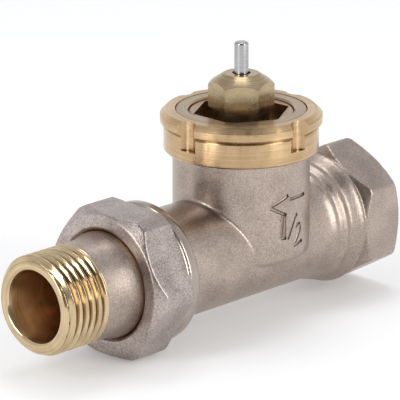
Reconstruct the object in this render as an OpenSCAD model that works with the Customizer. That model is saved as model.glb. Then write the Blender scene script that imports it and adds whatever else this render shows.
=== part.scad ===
// Straight radiator control valve: forged body, clamp collar, screwed-in valve
// insert with a spring-loaded spindle, gland with pressure pin, and a union tail.
// Origin: where the pipe axis meets the stem axis. +X runs to the female inlet,
// -X to the tailpiece, +Z up the stem. All sizes are in millimetres.

/* [Reach] */
// Stem axis to the face of the female inlet
inlet_reach = 35.5; // [34.5:0.5:42]
// Stem axis to the end of the tailpiece
outlet_reach = 60.7; // [58:0.1:72]
// Stem axis to the seat face of the union
seat_reach = 34.5; // [33:0.5:37]

/* [Forged body] */
// Diameter of the outlet spigot behind the union thread
spigot_d = 23.5; // [22.6:0.1:25]
// Diameter of the neck below the collar
neck_d = 28.8; // [28.4:0.1:30.5]
// Diameter of the neck where the collar sits
neck_rim_d = 27.6; // [26.6:0.1:28.2]
// Top of the neck above the pipe axis
neck_top = 28.95; // [28.6:0.05:30]
// How far the neck reaches below the pipe axis
neck_foot = 1.8; // [1.2:0.1:3]
// Radius of the neck's bottom edge
neck_round = 1.6; // [0.8:0.1:2]
// Chamfer at the neck's top edges
neck_edge = 0.3; // [0.1:0.05:0.5]
// Diameter of the larger ring on the flare
barrel_d = 26.2; // [25.8:0.1:27]
// Depth of the hollow behind that ring
ring_dip = 0.3; // [0.1:0.05:0.4]
// Diameter of the shoulder ring next to the inlet hexagon
shoulder_d = 28.6; // [28:0.1:29.2]

/* [Inlet hexagon] */
// Width across the flats
inlet_af = 27; // [26:0.5:29]
// Length of the hexagon
inlet_hex_len = 10.7; // [9:0.1:11.4]
// Diameter over the blunted corners
inlet_corner_d = 30.6; // [30.4:0.1:31]
// Depth of the turned chamfer at the inlet face
inlet_face_chamfer = 1.4; // [0.8:0.1:1.8]
// Depth of the turned chamfer beside the shoulder ring
inlet_back_chamfer = 1.6; // [0.8:0.1:2]

/* [Waterway] */
// Bore of the inlet thread
inlet_bore_d = 18.64; // [18:0.02:19.4]
// Depth of the inlet thread
inlet_thread_len = 14; // [12:0.5:15]
// Countersink at the mouth of the inlet thread
inlet_mouth = 1.1; // [0.5:0.1:1.5]
// Diameter of the eccentric way under the seat
low_way_d = 11; // [9.5:0.1:11.4]
// Bore behind the union
outlet_bore_d = 16.8; // [16:0.1:17.6]
// Depth of that bore from the seat face
outlet_bore_len = 17; // [15:0.5:19]
// Diameter of the eccentric way above the seat
high_way_d = 10.4; // [9:0.1:10.6]
// How far each eccentric way stays inside the bore it leads into
way_step = 0.3; // [0.2:0.05:0.6]

/* [Seat] */
// Seat face above the pipe axis
seat_h = 4.5; // [4.2:0.1:5]
// Bore of the seat
seat_bore_d = 10; // [9:0.1:10.6]
// Width of the raised lip round the seat bore
lip_w = 1.4; // [1:0.1:1.6]
// Height of the lip over the floor of the chamber
lip_h = 1.2; // [0.8:0.1:1.6]

/* [Clamp collar] */
// Outer diameter of the collar
collar_d = 34; // [33.6:0.1:36]
// Diameter of its lower band
collar_band_d = 32.5; // [31.8:0.1:33]
// Height of the collar
collar_h = 8.74; // [8:0.02:9.4]
// Height of the upper band
collar_top_band = 3.3; // [3:0.1:3.8]
// Bevel at the top edge
collar_bevel = 1.1; // [0.6:0.1:1.4]
// Slant under the upper band
collar_slant = 0.7; // [0.4:0.1:1]
// Number of notches
notch_n = 4; // [4:1:6]
// Radius of a notch
notch_r = 2.6; // [2:0.1:3]
// Depth of a notch into the upper band
notch_depth = 2; // [1.4:0.1:2.2]
// Height of the ledge under the notches above the collar's foot
notch_ledge = 2.5; // [1.6:0.1:3.2]
// How far the collar stands above the neck
collar_proud = 0.05; // [0:0.05:0.3]

/* [Valve insert] */
// Diameter of the insert's thread
insert_d = 22; // [21.4:0.1:22.6]
// Diameter of the insert's nose
nose_d = 19.8; // [19:0.1:20.4]
// Inside diameter of the spring room
spring_room_d = 15.2; // [14.6:0.1:15.8]
// Width across the flats of the socket
socket_af = 18; // [17:0.5:18.4]
// Turn of the socket about the stem axis
socket_turn = 30; // [0:1:60]
// Depth of the insert's top below the neck's top
insert_sunk = 0.45; // [0.2:0.05:0.8]
// Height of the step in the neck above the pipe axis
neck_step = 15; // [14:0.1:16]
// Thickness of the socket's floor
floor_t = 2.2; // [1.8:0.1:2.6]
// Thickness of the ring that seals the insert
insert_ring_t = 1; // [0.8:0.05:1.05]

/* [Gland] */
// Width across the flats of the gland's hexagon
gland_af = 12; // [11.4:0.1:12.6]
// Turn of the hexagon about the stem axis
gland_turn = -46; // [-90:1:0]
// Diameter of the gland below the hexagon
gland_body_d = 11.8; // [11.2:0.1:12.4]
// Gap from the neck's top to the hexagon
gland_clear = 0.3; // [0.2:0.05:1]
// Height of the hexagon
gland_hex_h = 5; // [4.2:0.1:5.4]
// Height of the cone above the hexagon's corners
gland_dome_h = 2.35; // [1.8:0.05:2.8]
// Diameter of the flat on top of the cone
gland_flat_d = 7.2; // [6:0.1:8.4]
// Diameter of the gland's thread
gland_thread_d = 9.8; // [9.2:0.1:10.2]
// Diameter of the gland's packing room
packing_d = 6; // [5.8:0.05:6.6]
// Solid length of the hexagon above the packing room
packing_roof = 5.6; // [5:0.1:6]
// Thickness of the ring under the gland
gland_ring_t = 0.9; // [0.7:0.05:1]
// Thickness of the washer above the pin seal
seal_washer_t = 1; // [0.6:0.1:1.4]
// How far the bush that guides the pin stays inside the gland's foot
bush_sunk = 0.15; // [0.1:0.05:0.4]

/* [Stem] */
// Diameter of the pressure pin
pin_d = 3; // [2.7:0.05:3.2]
// Pin tip above the pipe axis
pin_top = 43.25; // [40:0.25:45]
// Rounding at the tip of the pin
pin_round = 0.5; // [0.2:0.05:0.8]
// Diameter of the spindle
spindle_d = 4; // [3.6:0.1:4.4]
// Diameter of the spindle's thread below the disc holder
stub_d = 2.8; // [2.4:0.1:3]
// Stem travel from open to closed
stem_travel = 2.7; // [2:0.1:2.8]
// Gap left between disc and seat when closed
closed_gap = 0.1; // [0.05:0.05:0.2]
// Wall between the spindle's groove and its surface
groove_depth = 0.45; // [0.3:0.05:0.55]
// Thickness of the spring clip
clip_t = 0.5; // [0.4:0.05:0.6]
// Outer diameter of the spring clip
clip_d = 7; // [6.2:0.1:7.6]
// Length of the spindle above the clip
spindle_end = 0.3; // [0.2:0.05:0.5]

/* [Return spring] */
// Length of the spring at rest
spring_len = 8.6; // [8:0.1:9]
// Mean diameter of the coils
spring_d = 10.4; // [9.8:0.1:10.8]
// Diameter of the wire
wire_d = 1; // [0.8:0.05:1.1]
// Number of open coils between the closed end coils
open_coils = 3.5; // [2.5:0.5:3.5]
// Diameter of the spring plate
plate_d = 12.8; // [12.4:0.1:13.6]
// Thickness of the spring plate
plate_t = 0.8; // [0.6:0.05:1]
// Thickness of the spindle guide
guide_t = 1.2; // [1:0.1:1.6]
// Diameter of the spindle guide
guide_d = 16.2; // [16:0.1:16.8]
// Height of the hub on the spindle guide
guide_hub_h = 2; // [1.5:0.1:2.5]
// Diameter of that hub
guide_hub_d = 6.8; // [6:0.1:7.4]

/* [Seat disc] */
// Diameter of the rubber disc
disc_d = 14.4; // [13.6:0.1:15]
// Thickness of the rubber disc
disc_t = 2; // [1.6:0.1:2.3]
// Diameter of the holder round the disc
holder_d = 16; // [15.6:0.1:16.6]
// Thickness of the holder's plate
holder_t = 1; // [0.8:0.1:1.3]
// How far the holder's rim stops short of the disc's face
rim_short = 0.6; // [0.4:0.1:1]
// Diameter of the washer under the disc
disc_washer_d = 7.6; // [6.4:0.1:8]
// Thickness of that washer
disc_washer_t = 0.6; // [0.4:0.05:0.8]
// Width across the flats of the disc nut
disc_nut_af = 5; // [4.5:0.1:5.5]
// Height of the disc nut
disc_nut_h = 1.6; // [1.2:0.1:1.8]

/* [Union nut] */
// Width across the flats
nut_af = 30; // [29.6:0.1:31]
// Turn of the hexagon about the pipe axis
nut_turn = -27; // [-30:1:30]
// Diameter over the blunted corners
nut_corner_d = 33.2; // [32.8:0.1:34.2]
// Length of the nut
nut_len = 13.6; // [12.8:0.1:14.2]
// Length of the hexagon with its front chamfer
nut_hex_len = 9.5; // [8.8:0.1:10.2]
// Diameter where the front chamfer starts
nut_face_d = 29.3; // [28.4:0.1:29.8]
// Depth of the front chamfer
nut_chamfer = 1.9; // [1.2:0.1:2.2]
// Diameter of the round collar behind the hexagon
nut_collar_d = 29.8; // [29.2:0.1:30.4]
// Depth of the hollow between hexagon and collar
nut_dip = 0.35; // [0.1:0.05:0.5]
// Thickness of the nut's front wall
nut_wall = 3; // [2.4:0.1:3.4]
// Width of the countersink at the nut's hole
nut_countersink = 0.7; // [0.3:0.1:0.9]

/* [Tailpiece] */
// Diameter of the union thread on the body
union_thread_d = 26.44; // [26:0.02:26.8]
// Length of the union thread
union_thread_len = 6; // [5.6:0.1:6.2]
// Diameter of the male pipe thread
tail_thread_d = 20.96; // [20.4:0.02:21.4]
// Length of the male pipe thread
tail_thread_len = 10.5; // [9:0.1:12]
// Chamfer at the end of the tail
tail_chamfer = 1.2; // [0.6:0.1:1.3]
// Diameter of the tail behind the thread
tail_shank_d = 20.5; // [20.2:0.1:20.9]
// Diameter of the tail at the nut
tail_waist_d = 22; // [21.4:0.1:22.4]
// Bore of the tail
tail_bore_d = 14.9; // [14:0.1:16.2]
// Diameter of the tail's flange
flange_d = 25.6; // [24.8:0.1:25.9]
// Thickness of the flange
flange_t = 3.4; // [3:0.1:4]
// Diameter of the tail's nose in the body
tail_nose_d = 20.6; // [20:0.1:21]
// Length of that nose
tail_nose_len = 3.4; // [3:0.1:4]
// Thickness of the ring on the nose
tail_ring_t = 1.2; // [1:0.05:1.3]

/* [Clearances] */
// Radial gap of a sliding or turning fit
run_gap = 0.08; // [0.05:0.01:0.1]
// Radial gap of parts screwed or pressed together
thread_gap = 0.1; // [0.06:0.01:0.15]
// Gap between faces that only meet
face_gap = 0.05; // [0.02:0.01:0.1]
// Gap between moving faces at rest
rest_gap = 0.3; // [0.2:0.05:0.4]

/* [Hidden] */
$fn = 96;

// Overshoot of cutting shapes
cut = 1;

// Heights of the stem stack, from the seat upwards
disc_z = seat_h + stem_travel + closed_gap;
holder_top = disc_z + disc_t + holder_t;
guide_z = holder_top + rest_gap;
spring_z = guide_z + guide_t;
plate_z = spring_z + spring_len;
clip_z = plate_z + plate_t;
spindle_top = clip_z + clip_t + spindle_end;
floor_z = spindle_top + rest_gap;
socket_z = floor_z + floor_t;
insert_top = neck_top - insert_sunk;
chamber_z = seat_h - lip_h;
chamber_d = nose_d + 3 * thread_gap;
neck_bore_d = insert_d + 2 * thread_gap;
insert_shoulder = neck_step + insert_ring_t + face_gap;

// Heights of the collar and the gland
collar_top = neck_top + collar_proud;
collar_z = collar_top - collar_h;
gland_hex_z = neck_top + gland_clear;
gland_dome_z = gland_hex_z + gland_hex_h;
gland_top = gland_dome_z + gland_dome_h;
packing_top = gland_dome_z - packing_roof;
seal_z = packing_top - face_gap - seal_washer_t;
seal_t = (packing_d - pin_d) / 2 - 2 * face_gap;
pin_seal_z = seal_z - face_gap - seal_t;
nut_foot = disc_z - 2 * face_gap - disc_washer_t - disc_nut_h;

// How far the eccentric ways lie below and above the pipe axis
low_way_drop = (inlet_bore_d - low_way_d) / 2 - way_step;
high_way_rise = (outlet_bore_d - high_way_d) / 2 - way_step;

// Places along the pipe axis
hex_x = inlet_reach - inlet_hex_len;
thread_x = -seat_reach + union_thread_len;
flange_x = -seat_reach - flange_t - face_gap;
nut_x = flange_x - nut_wall - face_gap;
tail_x = -outlet_reach;
nose_x = -seat_reach + tail_nose_len;

// Mean diameter of the ring on the tail's nose
ring_mean = tail_nose_d + run_gap - tail_ring_t;

// Colours
nickel = [0.66, 0.62, 0.58];
brass = [0.80, 0.64, 0.36];
gland_brass = [0.62, 0.53, 0.33];
steel = [0.75, 0.75, 0.77];
rubber = [0.10, 0.10, 0.11];
polymer = [0.90, 0.88, 0.82];

// Revolves [x, radius] points about the pipe axis
module turned_x(points) {
    rotate([0, 90, 0]) rotate_extrude() polygon([for (p = points) [p[1], p[0]]]);
}

// Revolves [radius, z] points about the stem axis
module turned_z(points) {
    rotate_extrude() polygon(points);
}

// Rod of diameter d along the pipe axis
module rod_x(d, from, to) {
    translate([from, 0, 0]) rotate([0, 90, 0]) cylinder(d = d, h = to - from);
}

// Hexagonal bar along the pipe axis, a corner up when turn is zero
module hex_x(af, from, to, turn = 0) {
    translate([from, 0, 0]) rotate([0, 90, 0]) rotate([0, 0, turn])
        cylinder(d = af / cos(30), h = to - from, $fn = 6);
}

// Hexagonal bar along the stem axis
module hex_z(af, from, to, turn = 0) {
    translate([0, 0, from]) rotate([0, 0, turn])
        cylinder(d = af / cos(30), h = to - from, $fn = 6);
}

// Washer between two diameters
module washer(outer, inner, from, to) {
    translate([0, 0, from]) difference() {
        cylinder(d = outer, h = to - from);
        translate([0, 0, -cut]) cylinder(d = inner, h = to - from + 2 * cut);
    }
}

// Round ring of section t lying on height z with mean diameter d
module o_ring(d, t, z) {
    translate([0, 0, z + t / 2]) rotate_extrude() translate([d / 2, 0]) circle(d = t, $fn = 48);
}

// Neck with a rounded foot, a ledge for the collar and a rim inside it
module neck() {
    r = neck_d / 2;
    foot = neck_round - neck_foot;
    rim = neck_rim_d / 2;
    rotate_extrude() {
        translate([0, -neck_foot]) square([r - neck_round, neck_round + cut]);
        translate([r - neck_round, foot]) circle(r = neck_round);
        translate([0, foot]) square([r, collar_z - foot]);
        polygon([
            [0, collar_z - cut], [rim, collar_z - cut], [rim, neck_top - neck_edge],
            [rim - neck_edge, neck_top], [0, neck_top]
        ]);
    }
}

// Outside of the pipe run: union thread, spigot, flare with two rings, and the shoulder ring
module pipe_run() {
    crest = union_thread_d / 2;
    spigot = spigot_d / 2;
    ring = barrel_d / 2;
    low_ring = (spigot + ring) / 2;
    shoulder = shoulder_d / 2;
    hidden = inlet_af / 2 - 1.3;
    from = neck_d / 2;
    room = hex_x - 1.3 - from;
    turned_x([
        [-seat_reach, 0], [-seat_reach, crest - 1], [1 - seat_reach, crest],
        [thread_x - 0.7, crest], [thread_x, crest - 0.8], [thread_x, spigot],
        [from - 0.06 * room, spigot], [from + 0.13 * room, spigot + 0.2],
        [from + 0.26 * room, low_ring], [from + 0.35 * room, low_ring - ring_dip / 2],
        [from + 0.54 * room, ring], [from + 0.66 * room, ring - ring_dip],
        [from + 0.9 * room, shoulder - 0.3], [from + room, shoulder],
        [hex_x + 0.3, hidden], [hex_x + 2, hidden], [hex_x + 2, 0]
    ]);
}

// Inlet hexagon with blunted corners and turned chamfers at both ends
module inlet_hexagon() {
    corner = inlet_corner_d / 2;
    back = hex_x + inlet_back_chamfer;
    face = inlet_reach - inlet_face_chamfer;
    intersection() {
        hex_x(inlet_af, hex_x, inlet_reach);
        turned_x([
            [hex_x, 0], [hex_x, inlet_af / 2 - 0.5], [back, corner], [face, corner],
            [inlet_reach, inlet_af / 2 - 0.4], [inlet_reach, 0]
        ]);
    }
}

// Inlet thread and the way that leads under the seat
module inlet_way() {
    r = inlet_bore_d / 2;
    mouth = inlet_reach - inlet_mouth;
    end = inlet_reach - inlet_thread_len;
    way = low_way_d / 2;
    rod_x(inlet_bore_d, end, inlet_reach + cut);
    turned_x([
        [mouth, 0], [mouth, r], [inlet_reach + cut, r + inlet_mouth + cut], [inlet_reach + cut, 0]
    ]);
    translate([0, 0, -low_way_drop])
        turned_x([[-way * 0.6, 0], [0, way], [end + cut, way], [end + cut, 0]]);
    translate([0, 0, -low_way_drop])
        cylinder(d = seat_bore_d, h = low_way_drop + seat_h + cut);
}

// Socket for the tail's nose and the way that leaves above the seat
module outlet_way() {
    seat = -seat_reach;
    end = seat + outlet_bore_len;
    socket = tail_nose_d + 2 * run_gap;
    rod_x(socket, seat - cut, nose_x + rest_gap);
    turned_x([
        [seat - cut, 0], [seat - cut, socket / 2 + 0.5 + cut], [seat + 0.5, socket / 2], [seat + 0.5, 0]
    ]);
    rod_x(outlet_bore_d, seat, end);
    translate([0, 0, high_way_rise]) rod_x(high_way_d, end - cut, -chamber_d / 2 + 1.4);
}

// Chamber round the seat lip and the bore that takes the insert
module valve_chamber() {
    mouth = neck_bore_d / 2;
    difference() {
        translate([0, 0, chamber_z]) cylinder(d = chamber_d, h = neck_step - chamber_z + cut);
        translate([0, 0, chamber_z - cut]) cylinder(d = seat_bore_d + 2 * lip_w, h = lip_h + cut);
    }
    turned_z([
        [0, neck_step], [mouth, neck_step], [mouth, neck_top - neck_edge],
        [mouth + neck_edge + cut, neck_top + cut], [0, neck_top + cut]
    ]);
}

// Nickel-plated forging with its waterways
module valve_body() {
    color(nickel) difference() {
        union() {
            pipe_run();
            neck();
            inlet_hexagon();
        }
        inlet_way();
        outlet_way();
        valve_chamber();
    }
}

// Turned collar that a thermostatic head clamps to, with notches against turning
module collar_ring() {
    top = collar_d / 2;
    band = collar_band_d / 2;
    step = collar_top - collar_top_band;
    hole = neck_rim_d / 2 + face_gap;
    color(brass) difference() {
        turned_z([
            [hole, collar_z], [band - 0.4, collar_z], [band, collar_z + 0.4], [band, step - 0.3],
            [band - 0.2, step], [top, step + collar_slant], [top, collar_top - collar_bevel],
            [top - collar_bevel, collar_top], [hole, collar_top]
        ]);
        for (i = [0 : notch_n - 1])
            rotate([0, 0, i * 360 / notch_n])
                translate([top + notch_r - notch_depth, 0, collar_z + notch_ledge])
                    cylinder(r = notch_r, h = collar_h);
    }
}

// Brass insert: screwed into the neck, with a hexagon socket, a floor and the spring room
module valve_insert() {
    r = insert_d / 2;
    nose = nose_d / 2;
    edge = 0.25;
    color(gland_brass) difference() {
        turned_z([
            [0, guide_z], [nose - edge, guide_z], [nose, guide_z + edge], [nose, insert_shoulder],
            [r, insert_shoulder], [r, insert_top - edge], [r - edge, insert_top], [0, insert_top]
        ]);
        translate([0, 0, guide_z - cut])
            cylinder(d = guide_d + 2 * thread_gap, h = guide_t + cut);
        translate([0, 0, guide_z]) cylinder(d = spring_room_d, h = floor_z - guide_z);
        translate([0, 0, floor_z - cut])
            cylinder(d = gland_thread_d + 2 * thread_gap, h = floor_t + 2 * cut);
        hex_z(socket_af, socket_z, insert_top + cut, socket_turn);
    }
}

// Ring that seals the insert on the step in the neck
module insert_o_ring() {
    color(rubber) o_ring((nose_d + neck_bore_d) / 2, insert_ring_t, neck_step + face_gap / 2);
}

// Gland nut: hexagon with a cone on top, a round body in the socket, and the packing room inside
module gland_nut() {
    body = gland_body_d / 2;
    core = gland_thread_d / 2;
    shoulder = socket_z + gland_ring_t + face_gap;
    corner = gland_af / 2 / cos(30);
    ridge = gland_af / 2 - 0.15;
    flat = gland_flat_d / 2;
    color(gland_brass) difference() {
        union() {
            turned_z([
                [0, floor_z], [core - 0.3, floor_z], [core, floor_z + 0.3], [core, shoulder],
                [body, shoulder], [body, gland_hex_z + cut], [0, gland_hex_z + cut]
            ]);
            intersection() {
                hex_z(gland_af, gland_hex_z, gland_top, gland_turn);
                turned_z([
                    [0, gland_hex_z], [corner - 0.5, gland_hex_z], [corner, gland_hex_z + 0.3],
                    [corner, gland_dome_z], [ridge, gland_dome_z + gland_dome_h * 0.4],
                    [flat + 0.3, gland_top - 0.15], [flat, gland_top], [0, gland_top]
                ]);
            }
        }
        cylinder(d = pin_d + 2 * run_gap, h = gland_top + cut);
        translate([0, 0, floor_z - cut]) cylinder(d = packing_d, h = packing_top - floor_z + cut);
        turned_z([
            [0, gland_top - 1.2], [pin_d / 2 + 0.35, gland_top - 1.2],
            [pin_d / 2 + 0.5, gland_top + cut], [0, gland_top + cut]
        ]);
    }
}

// Ring that seals the gland on the socket's floor
module gland_o_ring() {
    mean = gland_thread_d + gland_ring_t + 2 * face_gap;
    color(rubber) o_ring(mean, gland_ring_t, socket_z + face_gap / 2);
}

// Plain washer above the pin seal
module seal_washer() {
    color(polymer) washer(packing_d - 2 * face_gap, pin_d + 2 * run_gap, seal_z, packing_top - face_gap);
}

// Ring that seals the pressure pin
module pin_seal() {
    color(rubber) o_ring((packing_d + pin_d) / 2, seal_t, pin_seal_z);
}

// Bush that guides the pressure pin at the foot of the gland
module guide_bush() {
    foot = floor_z + bush_sunk;
    color(polymer) washer(packing_d - 2 * face_gap, pin_d + 2 * run_gap, foot, pin_seal_z - face_gap);
}

// Pressure pin that the head pushes
module pressure_pin() {
    r = pin_d / 2;
    color(steel) rotate_extrude() {
        translate([0, spindle_top]) square([r, pin_top - pin_round - spindle_top]);
        translate([0, spindle_top]) square([r - pin_round, pin_top - spindle_top]);
        translate([r - pin_round, pin_top - pin_round]) intersection() {
            circle(r = pin_round);
            square(pin_round);
        }
    }
}

// Spindle with a clip groove at its head and a thread for the disc nut at its foot
module spindle() {
    r = spindle_d / 2;
    groove = r - groove_depth;
    stub = stub_d / 2;
    foot = nut_foot - 0.3;
    color(steel) turned_z([
        [0, foot], [stub - 0.2, foot], [stub, foot + 0.2], [stub, holder_top], [r, holder_top],
        [r, clip_z], [groove, clip_z], [groove, clip_z + clip_t], [r, clip_z + clip_t],
        [r, spindle_top - 0.1], [r - 0.1, spindle_top], [0, spindle_top]
    ]);
}

// Open spring clip in the spindle's groove
module spring_clip() {
    inner = spindle_d - 2 * groove_depth + 2 * face_gap;
    color(steel) difference() {
        washer(clip_d, inner, clip_z + face_gap / 2, clip_z + clip_t - face_gap / 2);
        translate([0, -inner * 0.36, clip_z - cut]) cube([clip_d, inner * 0.72, clip_t + 2 * cut]);
    }
}

// Dished plate that hands the spring's force to the clip
module spring_plate() {
    rim = plate_d / 2;
    hole = spindle_d / 2 + thread_gap;
    lip = (spring_d - wire_d) / 2 - 0.3;
    color(brass) turned_z([
        [hole, clip_z], [hole, plate_z - 0.8], [hole + 0.8, plate_z - 0.8], [hole + 1.2, plate_z],
        [rim - 0.2, plate_z], [rim, plate_z + 0.2], [rim, clip_z - 0.3], [rim - 0.3, clip_z],
        [lip, clip_z]
    ]);
}

// Height of the wire's centre after t coils, with a closed coil at each end
function coil_z(t) =
    let (closed = wire_d * 1.04)
    let (rise = (spring_len - wire_d - 2 * face_gap - 2 * closed) / open_coils)
    let (middle = min(max(t - 1, 0), open_coils))
    let (ends = t - middle)
    spring_z + face_gap + wire_d / 2 + ends * closed + middle * rise;

// Return spring, swept along its helix
module return_spring() {
    coils = open_coils + 2;
    steps = 24;
    sides = 8;
    rings = round(coils * steps);
    points = [
        for (i = [0 : rings], k = [0 : sides - 1])
            let (t = i * coils / rings)
            let (r = spring_d / 2 + wire_d / 2 * cos(k * 360 / sides))
            [r * cos(360 * t), r * sin(360 * t), coil_z(t) + wire_d / 2 * sin(k * 360 / sides)]
    ];
    skin = [
        for (i = [0 : rings - 1], k = [0 : sides - 1])
            let (next = (k + 1) % sides)
            [i * sides + k, i * sides + next, (i + 1) * sides + next, (i + 1) * sides + k]
    ];
    first = [for (k = [0 : sides - 1]) sides - 1 - k];
    last = [for (k = [0 : sides - 1]) rings * sides + k];
    color(steel) polyhedron(points, concat(skin, [first, last]));
}

// Guide pressed into the insert's nose; the spring stands on it
module spindle_guide() {
    hole = spindle_d / 2 + run_gap;
    hub = guide_hub_d / 2;
    rim = guide_d / 2;
    top = spring_z + guide_hub_h;
    color(brass) turned_z([
        [hole, guide_z], [rim - 0.2, guide_z], [rim, guide_z + 0.2], [rim, spring_z], [hub, spring_z],
        [hub, top - 0.3], [hub - 0.3, top], [hole, top]
    ]);
}

// Cup that holds the rubber disc
module disc_holder() {
    hole = stub_d / 2 + thread_gap;
    room = disc_d / 2 + face_gap;
    rim = holder_d / 2;
    roof = disc_z + disc_t;
    color(brass) turned_z([
        [hole, roof], [room, roof], [room, disc_z + rim_short], [rim, disc_z + rim_short],
        [rim, holder_top - 0.4], [rim - 0.4, holder_top], [hole, holder_top]
    ]);
}

// Rubber disc that closes the seat
module seat_disc() {
    color(rubber) washer(disc_d, stub_d + 2 * thread_gap, disc_z, disc_z + disc_t - face_gap);
}

// Washer that clamps the disc
module disc_washer() {
    top = disc_z - face_gap;
    color(brass) washer(disc_washer_d, stub_d + 2 * thread_gap, top - disc_washer_t, top);
}

// Nut on the spindle's foot
module disc_nut() {
    top = nut_foot + disc_nut_h;
    color(brass) difference() {
        hex_z(disc_nut_af, nut_foot, top, 30);
        translate([0, 0, nut_foot - cut])
            cylinder(d = stub_d + 2 * thread_gap, h = disc_nut_h + 2 * cut);
    }
}

// Union nut: chamfered hexagon, hollow, round collar, and the thread room inside
module union_nut() {
    hex_end = nut_x + nut_hex_len;
    end = nut_x + nut_len;
    r = nut_collar_d / 2;
    dip = r - nut_dip;
    room = union_thread_d / 2 + run_gap;
    inside = nut_x + nut_wall;
    hole = tail_waist_d / 2 + rest_gap;
    color(nickel) difference() {
        union() {
            intersection() {
                hex_x(nut_af, nut_x, hex_end, nut_turn);
                turned_x([
                    [nut_x, 0], [nut_x, nut_face_d / 2], [nut_x + nut_chamfer, nut_corner_d / 2],
                    [hex_end, nut_corner_d / 2], [hex_end, 0]
                ]);
            }
            turned_x([
                [hex_end - cut, 0], [hex_end - cut, dip], [hex_end + 0.7, dip], [hex_end + 1.3, r],
                [end - 1.1, r], [end - 0.4, r - 0.3], [end, r - 0.9], [end, 0]
            ]);
        }
        turned_x([
            [inside, 0], [inside, room], [end - 0.3, room], [end + cut, room + cut], [end + cut, 0]
        ]);
        turned_x([
            [nut_x - cut, 0], [nut_x - cut, hole + nut_countersink + cut],
            [nut_x + nut_countersink, hole], [inside + cut, hole], [inside + cut, 0]
        ]);
    }
}

// Turned tailpiece: pipe thread, flared shank, flange behind the nut, and sealing nose
module tailpiece() {
    thread = tail_thread_d / 2;
    shank = tail_shank_d / 2;
    waist = tail_waist_d / 2;
    bore = tail_bore_d / 2;
    nose = tail_nose_d / 2;
    thread_end = tail_x + tail_thread_len;
    seat = -seat_reach;
    groove = ring_mean / 2 - tail_ring_t / 2 - face_gap;
    lip = nose_x - 0.8;
    color(nickel) difference() {
        turned_x([
            [tail_x, 0], [tail_x, thread - tail_chamfer], [tail_x + tail_chamfer, thread],
            [thread_end, thread], [thread_end + 0.4, shank], [nut_x - 3, shank + 0.15],
            [nut_x - 0.3, waist], [flange_x, waist], [flange_x, flange_d / 2 - 0.3],
            [flange_x + 0.3, flange_d / 2], [seat - face_gap - 0.3, flange_d / 2],
            [seat - face_gap, flange_d / 2 - 0.3], [seat - face_gap, nose - 0.1],
            [lip - tail_ring_t - 2 * face_gap, nose - 0.1],
            [lip - tail_ring_t - 2 * face_gap, groove], [lip, groove], [lip, nose],
            [nose_x - 0.3, nose], [nose_x, nose - 0.3], [nose_x, 0]
        ]);
        rod_x(tail_bore_d, tail_x - cut, nose_x + cut);
        turned_x([
            [tail_x - cut, 0], [tail_x - cut, bore + 0.3 + cut], [tail_x + 0.3, bore], [tail_x + 0.3, 0]
        ]);
    }
}

// Ring that seals the tail's nose in the body
module tail_o_ring() {
    middle = nose_x - 0.8 - tail_ring_t / 2 - face_gap;
    color(rubber) translate([middle, 0, 0]) rotate([0, 90, 0])
        translate([0, 0, -tail_ring_t / 2]) o_ring(ring_mean, tail_ring_t, 0);
}

valve_body();
collar_ring();
valve_insert();
insert_o_ring();
gland_nut();
gland_o_ring();
seal_washer();
pin_seal();
guide_bush();
pressure_pin();
spindle();
spring_clip();
spring_plate();
return_spring();
spindle_guide();
disc_holder();
seat_disc();
disc_washer();
disc_nut();
union_nut();
tailpiece();
tail_o_ring();
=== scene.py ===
"""Looks of the straight radiator control valve: plated forging, brass collar, gland and union."""

import logging
import math
from dataclasses import dataclass
from enum import Enum, IntEnum
from typing import Any, Callable, Optional, Sequence, Union

import bmesh
import bpy
from mathutils import Matrix, Vector


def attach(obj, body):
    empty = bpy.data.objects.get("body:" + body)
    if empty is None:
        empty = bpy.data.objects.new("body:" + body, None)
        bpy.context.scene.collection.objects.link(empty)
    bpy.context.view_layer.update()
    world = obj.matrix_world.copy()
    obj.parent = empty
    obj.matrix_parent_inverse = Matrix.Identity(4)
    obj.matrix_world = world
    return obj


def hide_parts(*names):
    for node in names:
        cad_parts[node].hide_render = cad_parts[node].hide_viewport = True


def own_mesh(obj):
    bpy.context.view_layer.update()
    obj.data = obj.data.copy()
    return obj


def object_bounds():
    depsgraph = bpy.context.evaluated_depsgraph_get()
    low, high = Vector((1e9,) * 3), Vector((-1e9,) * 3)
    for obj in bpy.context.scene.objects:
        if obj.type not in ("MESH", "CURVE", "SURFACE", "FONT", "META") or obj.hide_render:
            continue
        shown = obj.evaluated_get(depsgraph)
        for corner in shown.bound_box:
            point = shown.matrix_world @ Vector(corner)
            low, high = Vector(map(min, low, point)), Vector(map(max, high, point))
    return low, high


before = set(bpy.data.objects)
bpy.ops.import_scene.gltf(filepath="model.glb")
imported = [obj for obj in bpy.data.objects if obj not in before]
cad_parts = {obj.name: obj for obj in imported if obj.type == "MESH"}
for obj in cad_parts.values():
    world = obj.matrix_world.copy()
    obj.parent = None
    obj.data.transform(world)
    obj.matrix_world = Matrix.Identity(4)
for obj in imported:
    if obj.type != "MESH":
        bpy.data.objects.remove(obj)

MM = 0.001
TURN = 2 * math.pi
SPARE = 1.0  # how far a blank or tool reaches past the form, in millimetres
MERGED = 1e-4  # distance in millimetres under which points are one
MOST_FINISHES = 4
CAD_BOX = [list(corner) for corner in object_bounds()]
Point = tuple[float, float]
Colour = tuple[float, float, float]
Number = Union[float, "Value"]

log = logging.getLogger("valve")


class Axis(Enum):
    """The two axes that the valve's pieces are turned about."""

    PIPE = "pipe"
    STEM = "stem"


class Cut(Enum):
    """What one form does to another."""

    JOIN = "UNION"
    CUT = "DIFFERENCE"
    TRIM = "INTERSECT"


class Slot(Enum):
    """Material slots of the record."""

    NICKEL = "nickel_cast"
    TAIL = "tail_brass"
    TURNED = "turned_brass"
    GLAND = "gland_brass"
    PIN = "pin_steel"
    SPRING = "spring_steel"


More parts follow.
